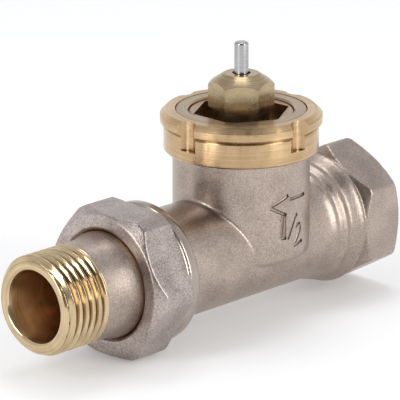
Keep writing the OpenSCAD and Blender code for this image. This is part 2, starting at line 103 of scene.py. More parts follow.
class BodySkin(IntEnum):
    """Places of the body's finishes on its mesh."""

    FORGED = 0
    TURNED = 1
    BARE = 2
    UNION = 3


class TailSkin(IntEnum):
    """Places of the tail's finishes on its mesh."""

    PLATED = 0
    THREAD = 1
    BORE = 2


class NutSkin(IntEnum):
    """Places of the nut's finishes on its mesh."""

    PLATED = 0
    WORN = 1
    RING = 2


class Value:
    """A shader socket on which Python's operators add Math nodes."""

    def __init__(self, tree: bpy.types.NodeTree, socket: bpy.types.NodeSocket) -> None:
        """Keeps the socket with its tree.

        Args:
            tree: Node tree that the socket is in.
            socket: Output socket to work with.
        """
        self.tree = tree
        self.socket = socket

    def _math(self, operation: str, first: Number, second: Number = 0.0) -> "Value":
        """Adds one Math node.

        Args:
            operation: Name of the Math node's operation.
            first: First operand.
            second: Second operand.

        Returns:
            The node's result.
        """
        node = self.tree.nodes.new("ShaderNodeMath")
        node.operation = operation
        for socket, operand in zip(node.inputs, (first, second)):
            if isinstance(operand, Value):
                self.tree.links.new(operand.socket, socket)
            else:
                socket.default_value = operand
        return Value(self.tree, node.outputs[0])

    def __add__(self, other: Number) -> "Value":
        """Sum."""
        return self._math("ADD", self, other)

    __radd__ = __add__

    def __sub__(self, other: Number) -> "Value":
        """Difference."""
        return self._math("SUBTRACT", self, other)

    def __rsub__(self, other: Number) -> "Value":
        """Reflected difference."""
        return self._math("SUBTRACT", other, self)

    def __mul__(self, other: Number) -> "Value":
        """Product."""
        return self._math("MULTIPLY", self, other)

    __rmul__ = __mul__

    def __pow__(self, other: Number) -> "Value":
        """Power."""
        return self._math("POWER", self, other)

    def over(self, low: float, high: float) -> "Value":
        """Smooth step of this value.

        Args:
            low: Value that gives 0.
            high: Value that gives 1.

        Returns:
            The step, from 0 to 1.
        """
        node = self.tree.nodes.new("ShaderNodeMapRange")
        node.interpolation_type = "SMOOTHSTEP"
        self.tree.links.new(self.socket, node.inputs["Value"])
        node.inputs["From Min"].default_value = low
        node.inputs["From Max"].default_value = high
        return Value(self.tree, node.outputs["Result"])


class Nodes:
    """A node tree to which nodes are added as expressions."""

    def __init__(self, tree: bpy.types.NodeTree) -> None:
        """Keeps the tree.

        Args:
            tree: Node tree of a material or of the world.
        """
        self.tree = tree

    def feed(self, socket: bpy.types.NodeSocket, value: Union[Number, Sequence[float]]) -> None:
        """Sets or links a socket.

        Args:
            socket: Input socket.
            value: Value that it gets.
        """
        if isinstance(value, Value):
            self.tree.links.new(value.socket, socket)
        else:
            socket.default_value = value

    def add(self, kind: str, sockets: dict[Union[int, str], Any], output: Union[int, str] = 0,
            **settings: Union[bool, int, str]) -> Value:
        """Adds one node.

        Args:
            kind: Type of the node.
            sockets: Values or links of its sockets, by name or number.
            output: Name or number of the wanted output.
            **settings: Properties of the node, set before its sockets.

        Returns:
            The wanted output.
        """
        node = self.tree.nodes.new(kind)
        for key, setting in settings.items():
            setattr(node, key, setting)
        for key, value in sockets.items():
            self.feed(node.inputs[key], value)
        return Value(self.tree, node.outputs[output])

    def tint(self, dark: Union[Value, Colour], light: Union[Value, Colour], share: Value) -> Value:
        """Mixes two colours.

        Args:
            dark: Colour where the share is 0.
            light: Colour where the share is 1.
            share: Share of the light colour.

        Returns:
            The colour.
        """
        first, second = (c if isinstance(c, Value) else (*c, 1.0) for c in (dark, light))
        return self.add("ShaderNodeMix", {0: share, 6: first, 7: second}, 2, data_type="RGBA")


class Surface(Nodes):
    """A material's node tree with one Principled shader."""

    def __init__(self, name: str) -> None:
        """Starts a material.

        Args:
            name: Name of the material.
        """
        self.material = bpy.data.materials.new(name)
        self.material.use_nodes = True
        super().__init__(self.material.node_tree)
        self.shader = self.tree.nodes["Principled BSDF"]

    def set(self, **values: Union[Number, Sequence[float]]) -> None:
        """Sets or links sockets of the Principled shader.

        Args:
            **values: Values or links, an underscore for a space.
        """
        for key, value in values.items():
            self.feed(self.shader.inputs[key.replace("_", " ")], value)

    def place(self) -> Value:
        """Object coordinates in millimetres."""
        where = self.add("ShaderNodeTexCoord", {}, "Object")
        return self.add("ShaderNodeVectorMath", {0: where, 1: (1 / MM,) * 3}, operation="MULTIPLY")

    def noise(self, size: float, detail: float = 2.0, where: Optional[Value] = None) -> Value:
        """Noise with grains of a given size.

        Args:
            size: Size of a grain in millimetres.
            detail: Detail of the noise.
            where: Coordinates in millimetres, or none for the plain ones.

        Returns:
            The noise, about 0.5 in the mean.
        """
        sockets = {"Vector": where or self.place(), "Scale": 1 / size, "Detail": detail}
        return self.add("ShaderNodeTexNoise", sockets, "Fac")

    def lathe(self, axis: Axis, drift: float) -> Value:
        """Coordinates that are nearly the same all round an axis, for turning lines.

        Args:
            axis: Axis of the lathe.
            drift: Share of the place across the axis that lets the lines come and go.

        Returns:
            Radius, place along the axis, and a little of the place across it.
        """
        split = self.add("ShaderNodeSeparateXYZ", {0: self.place()}).socket.node
        x, y, z = (Value(self.tree, out) for out in split.outputs)
        along, a, b = (x, y, z) if axis is Axis.PIPE else (z, x, y)
        radius = (a * a + b * b) ** 0.5
        return self.add("ShaderNodeCombineXYZ", {0: radius + a * drift, 1: along, 2: b * drift})

    def painted_shade_mask(self, reach: float) -> Value:
        """Ambient occlusion that paints shade, with some grime, into corners and grooves.

        Args:
            reach: Distance in millimetres within which a wall counts as near.

        Returns:
            1 in the open, less in a corner.
        """
        return self.add("ShaderNodeAmbientOcclusion", {"Distance": reach * MM}, "AO",
                        samples=8, only_local=True)

    def bump(self, height: Value, depth: float) -> None:
        """Lets a height field feed the shader's normal.

        Args:
            height: Height, from 0 to 1.
            depth: Depth in millimetres.
        """
        self.set(Normal=self.add("ShaderNodeBump", {"Height": height, "Strength": 1.0,
                                                    "Distance": depth * MM}))


@dataclass(frozen=True)
class BlastedNickel:
    """Nickel plate on a blasted forging, with the grain of the blasting under it."""

    name: str = "blasted_nickel"
    dark: Colour = (0.30, 0.242, 0.204)
    light: Colour = (0.545, 0.452, 0.394)
    # Colour of corners and grooves: painted shade there, with grime; corner is the reach of that
    # shade in millimetres
    grime_and_shade: Colour = (0.15, 0.108, 0.078)
    roughness: float = 0.34
    grain: float = 0.30
    depth: float = 0.040
    corner: float = 1.8
    cloud: float = 5.5
    swell: float = 1.7

    def make(self) -> bpy.types.Material:
        """Builds the material.

        Returns:
            The material.
        """
        s = Surface(self.name)
        fine = s.noise(self.grain, 3)
        cloud = s.noise(self.cloud, 3)
        share = fine + cloud * 0.5 - 0.25
        plate = s.tint(self.dark, self.light, share.over(0.2, 0.8))
        # Painted shade: ambient occlusion darkens corners and grooves towards the shade colour
        unshaded = s.painted_shade_mask(self.corner).over(0.3, 0.95)
        s.set(Base_Color=s.tint(self.grime_and_shade, plate, unshaded), Metallic=1.0,
              Roughness=cloud * 0.16 + fine * 0.12 + (self.roughness - 0.14))
        s.bump(fine * 0.8 + s.noise(self.swell, 1) * 0.9, self.depth)
        return s.material


@dataclass(frozen=True)
class TurnedMetal:
    """Metal as it leaves the lathe, with fine lines round its axis."""

    name: str
    axis: Axis
    dark: Colour
    light: Colour
    roughness: float = 0.22
    line: float = 0.16
    depth: float = 0.004
    stain: float = 0.5
    drawn: float = 0.0
    # Colour of corners and grooves: painted shade there, with grime; corner is the reach of that
    # shade in millimetres
    grime_and_shade: Colour = (0.13, 0.078, 0.042)
    corner: float = 0.9
    cloud: float = 3.5
    drift: float = 0.006
    band: float = 6.0

    def make(self) -> bpy.types.Material:
        """Builds the material.

        Returns:
            The material.
        """
        s = Surface(self.name)
        lines = s.noise(self.line, 2, s.lathe(self.axis, self.drift))
        wide = s.noise(self.line * self.band, 2, s.lathe(self.axis, self.drift * 5))
        cloud = s.noise(self.cloud, 3)
        share = lines * 0.45 + wide * 0.25 + cloud * self.stain * 0.6
        middle, reach = 0.35 + self.stain * 0.3, 0.22
        metal = s.tint(self.dark, self.light, share.over(middle - reach, middle + reach))
        # Painted shade: ambient occlusion darkens corners and grooves towards the shade colour
        unshaded = s.painted_shade_mask(self.corner).over(0.3, 0.9)
        s.set(Base_Color=s.tint(self.grime_and_shade, metal, unshaded), Metallic=1.0,
              Roughness=cloud * 0.12 + wide * 0.10 + (self.roughness - 0.11),
              Anisotropic=self.drawn, Anisotropic_Rotation=0.25)
        s.bump(lines, self.depth)
        return s.material


@dataclass(frozen=True)
class Rubber:
    """Moulded rubber with a fine matt skin."""

    name: str = "moulded_rubber"
    dark: Colour = (0.018, 0.018, 0.02)
    light: Colour = (0.05, 0.05, 0.052)

    def make(self) -> bpy.types.Material:
        """Builds the material.

        Returns:
            The material.
        """
        s = Surface(self.name)
        skin = s.noise(0.12, 3)
        s.set(Base_Color=s.tint(self.dark, self.light, skin), Roughness=skin * 0.3 + 0.4)
        s.bump(skin, 0.006)
        return s.material


@dataclass(frozen=True)
class Polymer:
    """Machined white polymer."""

    name: str = "machined_polymer"
    dark: Colour = (0.66, 0.63, 0.56)
    light: Colour = (0.82, 0.80, 0.74)

    def make(self) -> bpy.types.Material:
        """Builds the material.

        Returns:
            The material.
        """
        s = Surface(self.name)
        lines = s.noise(0.1, 2, s.lathe(Axis.STEM, 0.03))
        s.set(Base_Color=s.tint(self.dark, self.light, lines), Roughness=lines * 0.2 + 0.32)
        s.bump(lines, 0.004)
        return s.material


class Finishes:
    """Every finish of the valve, made once."""

    def __init__(self) -> None:
        """Makes the materials."""
        self.nickel = BlastedNickel().make()
        self.nut_nickel = BlastedNickel(
            "blasted_nickel_nut", (0.268, 0.227, 0.207), (0.578, 0.497, 0.463),
            grain=0.34, depth=0.05).make()
        self.plated = TurnedMetal(
            "turned_nickel", Axis.STEM, (0.29, 0.212, 0.135), (0.46, 0.355, 0.24),
            roughness=0.28, line=0.12, drawn=0.4).make()
        self.plated_pipe = TurnedMetal(
            "turned_nickel_pipe", Axis.PIPE, (0.35, 0.295, 0.257), (0.505, 0.444, 0.396),
            roughness=0.22).make()
        self.collar = TurnedMetal(
            "turned_collar", Axis.STEM, (0.42, 0.276, 0.143), (0.69, 0.493, 0.288),
            roughness=0.26, line=0.12, stain=0.35, drawn=0.8).make()
        # The thread's grooves get a darker painted shade colour, with grime, and a wider reach
        self.thread = TurnedMetal(
            "cut_thread", Axis.PIPE, (0.40, 0.28, 0.15), (0.80, 0.645, 0.41),
            roughness=0.14, line=0.1, stain=0.4, grime_and_shade=(0.10, 0.056, 0.028), corner=1.2).make()
        self.bore = TurnedMetal(
            "drilled_bore", Axis.PIPE, (0.30, 0.185, 0.112), (0.58, 0.415, 0.26),
            roughness=0.24, line=0.35, depth=0.010, stain=0.6).make()
        self.rim = TurnedMetal(
            "worn_rim", Axis.PIPE, (0.42, 0.27, 0.15), (0.70, 0.50, 0.30),
            roughness=0.3, corner=0.1).make()
        self.gland = TurnedMetal(
            "tarnished_gland", Axis.STEM, (0.315, 0.232, 0.14), (0.54, 0.43, 0.26),
            roughness=0.26, line=0.12, stain=0.6).make()
        self.insert = TurnedMetal(
            "dark_insert", Axis.STEM, (0.28, 0.185, 0.12), (0.52, 0.375, 0.24),
            roughness=0.32, line=0.2, depth=0.005, stain=0.8, corner=0.4).make()
        self.pin = TurnedMetal(
            "ground_pin", Axis.STEM, (0.34, 0.33, 0.327), (0.53, 0.52, 0.516),
            roughness=0.18, line=0.08, depth=0.001, stain=0.3, drawn=0.5).make()
        self.spring = TurnedMetal(
            "drawn_wire", Axis.STEM, (0.45, 0.45, 0.46), (0.66, 0.66, 0.67),
            roughness=0.25, line=0.2, depth=0.002, stain=0.5).make()
        self.rubber = Rubber().make()
        self.polymer = Polymer().make()


class Form:
    """A shape under construction, in millimetres."""

    STROKE_STEP = 3.0  # degrees

    def __init__(self) -> None:
        """Starts empty."""
        self.bm = bmesh.new()

    @staticmethod
    def _axis(axis: Axis) -> Vector:
        """Direction of an axis."""
        return Vector((1, 0, 0)) if axis is Axis.PIPE else Vector((0, 0, 1))

    @classmethod
    def turned(cls, profile: Sequence[Point], axis: Axis, ring: bool = False,
               steps: int = 144) -> "Form":
        """Spins a profile about an axis.

        Args:
            profile: Points of place along the axis and radius.
            axis: Axis to spin about.
            ring: Whether the last point joins the first, for a piece with a hole.
            steps: Facets round the axis.

        Returns:
            The closed form.
        """
        form = cls()
        points = [Vector((a, r, 0)) if axis is Axis.PIPE else Vector((r, 0, a))
                  for a, r in profile]
        verts = [form.bm.verts.new(p) for p in points]
        pairs = list(zip(verts, verts[1:])) + ([(verts[-1], verts[0])] if ring else [])
        edges = [form.bm.edges.new(pair) for pair in pairs]
        bmesh.ops.spin(form.bm, geom=verts + edges, cent=(0, 0, 0), axis=cls._axis(axis),
                       angle=TURN, steps=steps, use_merge=True)
        return form.tidied()

    @classmethod
    def hexagon(cls, across: float, low: float, high: float, axis: Axis,
                turn: float = 0.0) -> "Form":
        """Makes a hexagonal bar.

        Args:
            across: Width across the flats.
            low: Start along the axis.
            high: End along the axis.
            axis: Axis of the bar.
            turn: Turn in degrees, as in the CAD.

        Returns:
            The bar.
        """
        form = cls()
        radius = across / 2 / math.cos(math.radians(30))
        bmesh.ops.create_cone(form.bm, cap_ends=True, segments=6, radius1=radius, radius2=radius,
                              depth=high - low)
        tilt = Matrix.Rotation(math.radians(90 if axis is Axis.PIPE else 0), 4, "Y")
        first_corner = Matrix.Rotation(math.radians(turn + 90), 4, "Z")
        form.bm.transform(tilt @ first_corner @ Matrix.Translation((0, 0, (low + high) / 2)))
        return form

    @classmethod
    def strokes(cls, points: Sequence[Point], radius: float, width: float) -> "Form":
        """Sweeps a round tool along a line on an upright cylinder.

        Args:
            points: Points of the line as angle in degrees and height.
            radius: Radius of the cylinder.
            width: Width of the tool.

        Returns:
            The swept form.
        """
        upright = Matrix.Rotation(math.radians(-90), 4, "X")
        line = None
        for (turn, low), (next_turn, high) in zip(points, points[1:]):
            angle = math.radians(next_turn - turn)
            steps = max(1, round(abs(next_turn - turn) / cls.STROKE_STEP))
            slope = Matrix.Rotation(math.atan2(high - low, radius * angle), 4, "X")
            start = Matrix.Rotation(math.radians(turn), 4, "Z")
            part = cls()
            bmesh.ops.create_circle(part.bm, cap_ends=True, radius=width / 2, segments=12)
            part.bm.transform(start @ Matrix.Translation((radius, 0, low)) @ slope @ upright)
            bmesh.ops.spin(part.bm, geom=part.bm.verts[:] + part.bm.edges[:] + part.bm.faces[:],
                           cent=(0, 0, 0), axis=(0, 0, 1), angle=angle, steps=steps,
                           dvec=(0, 0, (high - low) / steps))
            part.tidied()
            line = line.worked(Cut.JOIN, part) if line else part
        return line

    @classmethod
    def copied(cls, node: str) -> "Form":
        """Copies a CAD node's merged mesh.

        Args:
            node: Name of the node.

        Returns:
            The copy.
        """
        form = cls()
        form.bm.from_mesh(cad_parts[node].data)
        form.bm.transform(Matrix.Scale(1 / MM, 4))
        return form.tidied()

    def tidied(self) -> "Form":
        """Merges doubles and turns the faces outwards.

        Returns:
            The form itself.
        """
        bmesh.ops.remove_doubles(self.bm, verts=self.bm.verts, dist=MERGED)
        bmesh.ops.dissolve_degenerate(self.bm, dist=MERGED / 10, edges=self.bm.edges)
        bmesh.ops.recalc_face_normals(self.bm, faces=self.bm.faces)
        return self

    def moved(self, offset: Sequence[float]) -> "Form":
        """Moves the form.

        Args:
            offset: Way in millimetres.

        Returns:
            The form itself.
        """
        bmesh.ops.translate(self.bm, verts=self.bm.verts, vec=offset)
        return self

    def painted(self, slot: int, where: Optional[Callable[[Vector], bool]] = None) -> "Form":
        """Gives faces a material slot.

        Args:
            slot: Number of the slot.
            where: Test on a face's middle, or none for every face.

        Returns:
            The form itself.
        """
        for face in self.bm.faces:
            if where is None or where(face.calc_center_median()):
                face.material_index = slot
        return self

    def softened(self, width: float, angle: float) -> "Form":
        """Bevels every edge that is sharper than an angle.

        Args:
            width: Width of the bevel.
            angle: Least angle between faces in degrees.

        Returns:
            The form itself.
        """
        sharp = [e for e in self.bm.edges
                 if len(e.link_faces) == 2 and e.calc_face_angle(0) > math.radians(angle)]
        bmesh.ops.bevel(self.bm, geom=sharp, offset=width, segments=2, affect="EDGES",
                        profile=0.5, material=-1, clamp_overlap=True)
        return self

    def displaced(self, shift: Callable[[Vector], Vector]) -> "Form":
        """Moves each vertex by a rule.

        Args:
            shift: Rule that gives a vertex's new place.

        Returns:
            The form itself.
        """
        for vert in self.bm.verts:
            vert.co = shift(vert.co)
        return self

    def _temporary(self) -> bpy.types.Object:
        """Makes a short-lived object of the form.

        Returns:
            The object, linked to the scene.
        """
        mesh = bpy.data.meshes.new("blank")
        self.bm.to_mesh(mesh)
        for _ in range(MOST_FINISHES):
            mesh.materials.append(None)
        thing = bpy.data.objects.new("blank", mesh)
        bpy.context.scene.collection.objects.link(thing)
        return thing

    def _modified(self, thing: bpy.types.Object, *others: bpy.types.Object) -> "Form":
        """Takes the modified mesh of a temporary object and removes the objects.

        Args:
            thing: Object with its modifiers.
            *others: Objects that the modifiers use.

        Returns:
            The form itself, with the new mesh.
        """
        graph = bpy.context.evaluated_depsgraph_get()
        mesh = bpy.data.meshes.new_from_object(thing.evaluated_get(graph))
        self.bm.clear()
        self.bm.from_mesh(mesh)
        bpy.data.meshes.remove(mesh)
        for used in (thing, *others):
            old = used.data
            bpy.data.objects.remove(used)
            bpy.data.meshes.remove(old)
        return self

    def worked(self, how: Cut, tool: "Form") -> "Form":
        """Joins, cuts or trims the form with another.

        Args:
            how: What the other form does.
            tool: The other form.

        Returns:
            The form itself.
        """
        thing, other = self._temporary(), tool._temporary()
        step = thing.modifiers.new("work", "BOOLEAN")
        step.operation = how.value
        step.object = other
        step.solver = "MANIFOLD"
        step.material_mode = "INDEX"
        return self._modified(thing, other)

    def forged(self, voxel: float, passes: int) -> "Form":
        """Remeshes the form and smooths it, as a die leaves no sharp edge.

        Args:
            voxel: Size of the new faces.
            passes: Passes of smoothing.

        Returns:
            The form itself.
        """
        thing = self._temporary()
        remesh = thing.modifiers.new("remesh", "REMESH")
        remesh.mode = "VOXEL"
        remesh.voxel_size = voxel
        smooth = thing.modifiers.new("smooth", "SMOOTH")
        smooth.factor = 0.5
        smooth.iterations = passes
        return self._modified(thing)

    def piece(self, name: str, body: str, slot: Slot, finishes: Sequence[bpy.types.Material],
              replaced: str, crisp: float = 40.0) -> bpy.types.Object:
        """Finishes the form as a piece of the valve.

        Args:
            name: Name of the piece.
            body: CAD body that it rides on.
            slot: Material slot of the record; not used.
            finishes: Materials, in the order of the slots.
            replaced: CAD node that it stands for.
            crisp: Angle in degrees from which an edge stays sharp.

        Returns:
            The object.
        """
        mesh = bpy.data.meshes.new(name)
        self.bm.transform(Matrix.Scale(MM, 4))
        self.bm.to_mesh(mesh)
        self.bm.free()
        for finish in finishes:
            mesh.materials.append(finish)
        mesh.shade_smooth()
        mesh.set_sharp_from_angle(angle=math.radians(crisp))
        thing = bpy.data.objects.new(name, mesh)
        bpy.context.scene.collection.objects.link(thing)
        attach(thing, body)
        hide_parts(replaced)
        log.info("%s: %d faces", name, len(mesh.polygons))
        return thing


@dataclass(frozen=True)
class Screw:
    """A right-handed thread about the pipe axis."""

    low: float
    high: float
    crest: float
    depth: float
    pitch: float = 1.814
    fade_low: float = 0.6
    fade_high: float = 0.6
    outward: bool = False
    lead: float = 0.0
    land: float = 0.12
    flank: float = 0.74

    def profile(self, step: float = 0.1) -> list[Point]:
        """Points along the crest, close enough to carry the thread.

        Args:
            step: Distance between points.

        Returns:
            The points, from low to high.
        """
        count = round((self.high - self.low) / step)
        reach = self.high - self.low
        return [(self.low + reach * i / count, self.crest) for i in range(count + 1)]

    def shift(self, point: Vector) -> Vector:
        """Moves a point on the crest cylinder to the thread's surface.

        Args:
            point: Point of the form.

        Returns:
            Its new place.
        """
        radius = math.hypot(point.y, point.z)
        slack = 0.01
        if abs(radius - self.crest) > slack or not self.low - slack < point.x < self.high:
            return point
        phase = (point.x / self.pitch - math.atan2(point.z, point.y) / TURN) % 1.0
        flank = min(max((1 - abs(2 * phase - 1) - self.land) / self.flank, 0.0), 1.0)
        run_in = 1.0 if self.lead else (point.x - self.low) / self.fade_low
        fade = min(1.0, run_in, (self.high - point.x) / self.fade_high)
        new = radius + (1 if self.outward else -1) * self.depth * flank * max(fade, 0.0)
        if self.lead:
            new = min(new, self.crest - max(0.0, self.lead - (point.x - self.low)))
        return Vector((point.x, point.y * new / radius, point.z * new / radius))


@dataclass
class ValveBody:
    """Nickel-plated forging with its turned seats, threads and stamped marks."""

    reach: float = 35.5
    hex_len: float = 10.7
    across: float = 27.0
    corner: float = 15.3
    face_chamfer: float = 1.4
    back_chamfer: float = 1.6
    neck: float = 14.4
    neck_top: float = 28.95
    neck_foot: float = -1.8
    neck_bend: float = 1.6
    rim: float = 13.8
    rim_edge: float = 0.3
    collar_foot: float = 20.26
    collar_room: float = 17.0
    spigot: float = 11.75
    spigot_end: float = -30.0
    # The flare's rings, as shares of its length and radii
    rings: tuple[Point, ...] = (
        (-0.06, 11.75), (0.13, 11.95), (0.26, 12.425), (0.35, 12.275),
        (0.54, 13.1), (0.66, 12.8), (0.9, 14.0), (1.0, 14.3))
    ring_gap: float = 1.3
    seat: float = 34.5
    seat_edge: float = 0.5
    thread: Screw = Screw(-33.4, -29.3, 13.22, 1.1)
    thread_edge: float = 1.0
    runout: Point = (-28.5, 12.42)
    inlet: Screw = Screw(21.6, 34.4, 9.32, 1.1, fade_low=2.0, fade_high=0.3, outward=True)
    thread_len: float = 14.0
    countersink: float = 1.1
    valve_bore: float = 5.0
    lip: float = 6.4
    lip_top: float = 4.5
    chamber: float = 10.05
    chamber_foot: float = 3.3
    step: float = 15.0
    insert: float = 11.1
    low_way: float = 5.5
    low_z: float = -3.52
    low_tip: float = -3.3
    high_way: float = 5.2
    high_z: float = 2.9
    high_end: float = -8.65
    nose_room: Point = (-30.8, 10.38)
    outlet: Point = (-17.5, 8.4)
    voxel: float = 0.36
    smoothing: int = 3
    stroke: float = 0.76
    # Flow arrow and nominal size, as angles in degrees and heights
    lines: tuple[tuple[Point, ...], ...] = (
        ((-93.9, 13.1), (-111.6, 11.3)), ((-111.6, 11.0), (-96.0, 8.9)),
        ((-92.4, 12.2), (-70.5, 12.15)), ((-103, 8.1), (-100.2, 8.8), (-101.4, 4.2)),
        ((-97.6, 8.6), (-97.8, 4.1)), ((-101.4, 4.15), (-96.0, 4.0)),
        ((-82.6, 8.5), (-85.7, 8.1), (-94.0, 3.6)),
        ((-84.8, 5.7), (-81.8, 6.3), (-78.2, 6.0), (-77.6, 4.9), (-87.1, 1.8), (-74.9, 2.3)))

    def forging(self) -> Form:
        """Builds the solid forging, with soft edges.

        Returns:
            The form.
        """
        foot, bend, top = self.neck_foot, self.neck_bend, self.neck_top + SPARE
        arc = [(foot + bend * (1 - math.cos(t)), self.neck - bend * (1 - math.sin(t)))
               for t in (math.radians(a) for a in range(0, 91, 15))]
        neck = Form.turned([(foot, 0), *arc, (top, self.neck), (top, 0)], Axis.STEM)
        hex_x, half = self.reach - self.hex_len, self.across / 2
        flare = hex_x - self.ring_gap - self.neck
        hidden, inside = half - 1.3, hex_x + 2 * SPARE
        run = Form.turned([
            (self.spigot_end, 0), (self.spigot_end, self.spigot),
            *((self.neck + share * flare, radius) for share, radius in self.rings),
            (hex_x + 0.3, hidden), (inside, hidden), (inside, 0)
        ], Axis.PIPE)
        bar = Form.hexagon(self.across, hex_x, self.reach, Axis.PIPE)
        chamfer = Form.turned([
            (hex_x - 0.1, 0), (hex_x - 0.1, half - 0.6), (hex_x + self.back_chamfer, self.corner),
            (self.reach - self.face_chamfer, self.corner), (self.reach + 0.1, half - 0.5),
            (self.reach + 0.1, 0)
        ], Axis.PIPE)
        solid = neck.worked(Cut.JOIN, run).worked(Cut.JOIN, bar.worked(Cut.TRIM, chamfer))
        return solid.forged(self.voxel, self.smoothing)

    def seats(self) -> list[Form]:
        """Builds the tools for the neck's rim and the rooms on the stem axis.

        Returns:
            The tools, painted with the finish that they leave.
        """
        top, above = self.neck_top, self.neck_top + SPARE
        lid = Form.turned([
            (top, 0), (top, self.rim - self.rim_edge), (top - self.rim_edge, self.rim),
            (self.collar_foot, self.rim), (self.collar_foot, self.collar_room),
            (above + SPARE, self.collar_room), (above + SPARE, 0)
        ], Axis.STEM)
        room = Form.turned([
            (self.low_z, 0), (self.low_z, self.valve_bore), (self.lip_top, self.valve_bore),
            (self.lip_top, self.lip), (self.chamber_foot, self.lip),
            (self.chamber_foot, self.chamber), (self.step, self.chamber), (self.step, self.insert),
            (top - self.rim_edge, self.insert), (above, self.insert + self.rim_edge + SPARE),
            (above, 0)
        ], Axis.STEM)
        return [lid.painted(BodySkin.TURNED), room.painted(BodySkin.BARE)]

    def waterways(self) -> list[Form]:
        """Builds the tools for the bores along the pipe.

        Returns:
            The tools, painted with the finish that they leave.
        """
        blind, mouth = self.reach - self.thread_len, self.reach + SPARE
        wide = self.inlet.crest + self.countersink
        inlet = Form.turned([
            (blind, 0), (blind, self.inlet.crest), *self.inlet.profile(), (self.reach, wide),
            (mouth, wide + SPARE), (mouth, 0)
        ], Axis.PIPE).displaced(self.inlet.shift)
        low_way = Form.turned([
            (self.low_tip, 0), (0, self.low_way), (blind + SPARE, self.low_way), (blind + SPARE, 0)
        ], Axis.PIPE).moved((0, 0, self.low_z))
        seat, (nose_x, nose), (bore_x, bore) = -self.seat, self.nose_room, self.outlet
        outlet = Form.turned([
            (seat - SPARE, 0), (seat - SPARE, nose + self.seat_edge + SPARE),
            (seat + self.seat_edge, nose), (nose_x, nose), (nose_x, bore), (bore_x, bore),
            (bore_x, 0)
        ], Axis.PIPE)
        high_way = Form.turned([
            (bore_x - SPARE, 0), (bore_x - SPARE, self.high_way), (self.high_end, self.high_way),
            (self.high_end, 0)
        ], Axis.PIPE).moved((0, 0, self.high_z))
        return [tool.painted(BodySkin.BARE) for tool in (inlet, low_way, outlet, high_way)]

    def marks(self) -> Form:
        """Builds the tool that cuts the flow arrow and the nominal size.

        Returns:
            The tool.
        """
        tool, *others = [Form.strokes(line, self.neck, self.stroke) for line in self.lines]
        for other in others:
            tool.worked(Cut.JOIN, other)
        return tool

    def build(self, finishes: Finishes) -> bpy.types.Object:
        """Builds and dresses the body.

        Args:
            finishes: The valve's finishes.

        Returns:
            The piece.
        """
        seat, (end, root) = -self.seat, self.runout
        union = Form.turned([
            (seat, 0), (seat, self.thread.crest - self.thread_edge), *self.thread.profile(),
            (end, root), (end, 0)
        ], Axis.PIPE).displaced(self.thread.shift).painted(BodySkin.UNION)
        form = self.forging().worked(Cut.JOIN, union)
        for tool in (self.marks(), *self.seats(), *self.waterways()):
            form.worked(Cut.CUT, tool)
        skins = [finishes.nickel, finishes.plated, finishes.bore, finishes.plated_pipe]
        return form.piece("forged_body", "housing", Slot.NICKEL, skins, "valve_body")


@dataclass
class Collar:
    """Turned brass collar with its notches."""

    top: float = 29.0
    height: float = 8.74
    radius: float = 17.0
    band: float = 16.25
    band_height: float = 3.3
    bevel: float = 1.1
    slant: float = 0.7
    bore: float = 13.85
    notches: int = 4
    notch: float = 2.6
    notch_depth: float = 2.0
    ledge: float = 2.5
    edge: float = 0.1
    foot_edge: float = 0.4
    relief: Point = (0.3, 0.2)

    def build(self, finishes: Finishes) -> bpy.types.Object:
        """Builds and dresses the collar.

        Args:
            finishes: The valve's finishes.

        Returns:
            The piece.
        """
        foot, step = self.top - self.height, self.top - self.band_height
        form = Form.turned([
            (foot, self.bore), (foot, self.band - self.foot_edge),
            (foot + self.foot_edge, self.band), (step - self.relief[0], self.band),
            (step, self.band - self.relief[1]), (step + self.slant, self.radius),
            (self.top - self.bevel, self.radius), (self.top, self.radius - self.bevel),
            (self.top, self.bore)
        ], Axis.STEM, ring=True, steps=192)
        low, above = foot + self.ledge, self.top + 2 * SPARE
        away = self.radius + self.notch - self.notch_depth
        for i in range(self.notches):
            turn = i * TURN / self.notches
            drill = Form.turned([(low, 0), (low, self.notch), (above, self.notch), (above, 0)],
                                Axis.STEM, steps=64)
            form.worked(Cut.CUT, drill.moved((away * math.cos(turn), away * math.sin(turn), 0)))
        form.softened(self.edge, 30)
        return form.piece("turned_collar", "housing", Slot.TURNED, [finishes.collar],
                          "collar_ring", 12)


@dataclass
class Gland:
    """Gland nut: hexagon with a cone, recess round the pin, round body below."""

    across: float = 12.0
    turn: float = -46.0
    low: float = 29.25
    high: float = 34.25
    top: float = 36.6
    flat: float = 3.6
    body: float = 5.9
    core: float = 4.9
    foot: float = 22.1
    shoulder: float = 25.25
    packing: Point = (28.65, 3.0)
    pin: float = 1.58
    recess: Point = (1.2, 0.27)
    edge: float = 0.18

    def build(self, finishes: Finishes) -> bpy.types.Object:
        """Builds and dresses the gland.

        Args:
            finishes: The valve's finishes.

        Returns:
            The piece.
        """
        half, rise = self.across / 2, self.top - self.high
        corner = half / math.cos(math.radians(30))
        bar = Form.hexagon(self.across, self.low, self.top + 0.2, Axis.STEM, self.turn)
        head = bar.worked(Cut.TRIM, Form.turned([
            (self.low, 0), (self.low, corner - 0.5), (self.low + 0.3, corner), (self.high, corner),
            (self.high + rise * 0.4, half - 0.15), (self.top - 0.15, self.flat + 0.3),
            (self.top, self.flat), (self.top, 0)
        ], Axis.STEM))
        inside = self.low + SPARE
        lower = Form.turned([
            (self.foot, 0), (self.foot, self.core), (self.shoulder, self.core),
            (self.shoulder, self.body), (inside, self.body), (inside, 0)
        ], Axis.STEM)
        (roof, room), (sunk, wider) = self.packing, self.recess
        above, below = self.top + SPARE, self.foot - SPARE
        hole = Form.turned([
            (below, 0), (below, room), (roof, room), (roof, self.pin), (self.top - sunk, self.pin),
            (self.top - sunk, self.pin + wider), (above, self.pin + wider + 0.15), (above, 0)
        ], Axis.STEM)
        form = head.worked(Cut.JOIN, lower).worked(Cut.CUT, hole)
        form.softened(self.edge, 24)
        return form.piece("gland", "housing", Slot.GLAND, [finishes.gland], "gland_nut", 15)


